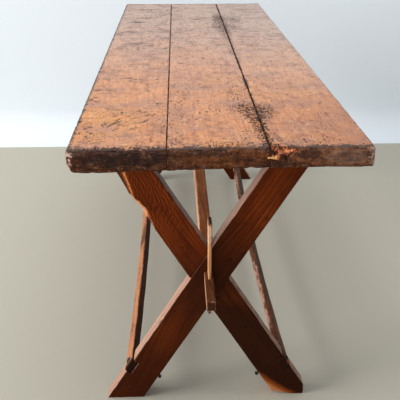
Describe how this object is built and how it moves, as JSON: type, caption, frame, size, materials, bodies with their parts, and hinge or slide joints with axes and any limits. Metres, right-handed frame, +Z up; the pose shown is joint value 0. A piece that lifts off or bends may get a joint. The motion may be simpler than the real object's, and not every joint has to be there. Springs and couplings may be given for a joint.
{
  "type": "sawbuck table",
  "caption": "Plank-topped dining table on crossed-leg sawbuck trestles, tied by a stretcher with wedged through tenons and by slim bowed foot rails.",
  "frame": {"origin": "on the floor under the middle of the top", "axes": "+X to the right across the top, +Y along the top away from the pictured end, +Z up"},
  "size_m": [0.6149, 2.14, 0.76],
  "materials": {
    "wood_top": "worn, scratched and softly waxed",
    "wood_trestle": "dark, satin, worn pale on the edges",
    "wood_key": "rubbed smooth, unstained",
    "iron": "black, hammered"
  },
  "bodies": {
    "table": {"top_plank_left": "wood_top", "top_plank_middle": "wood_top", "top_plank_right": "wood_top", "front_leg_climbing_left": "wood_trestle", "front_leg_climbing_right": "wood_trestle", "rear_leg_climbing_left": "wood_trestle", "rear_leg_climbing_right": "wood_trestle", "front_cleat": "wood_trestle", "rear_cleat": "wood_trestle", "front_left_peg": "wood_trestle", "front_right_peg": "wood_trestle", "rear_left_peg": "wood_trestle", "rear_right_peg": "wood_trestle", "front_cleat_nails": "iron", "rear_cleat_nails": "iron", "stretcher": "wood_trestle", "left_rail": "wood_trestle", "right_rail": "wood_trestle", "front_left_rail_spike": "iron", "front_right_rail_spike": "iron", "rear_left_rail_spike": "iron", "rear_right_rail_spike": "iron"},
    "front_key": {"front_tusk_key": "wood_key"},
    "rear_key": {"rear_tusk_key": "wood_key"}
  },
  "joints": [
    {"name": "front_key_lift", "type": "slide", "parent": "table", "child": "front_key", "axis": [0, 0, 1], "range_m": [0, 0.11]},
    {"name": "rear_key_lift", "type": "slide", "parent": "table", "child": "rear_key", "axis": [0, 0, 1], "range_m": [0, 0.11]}
  ]
}
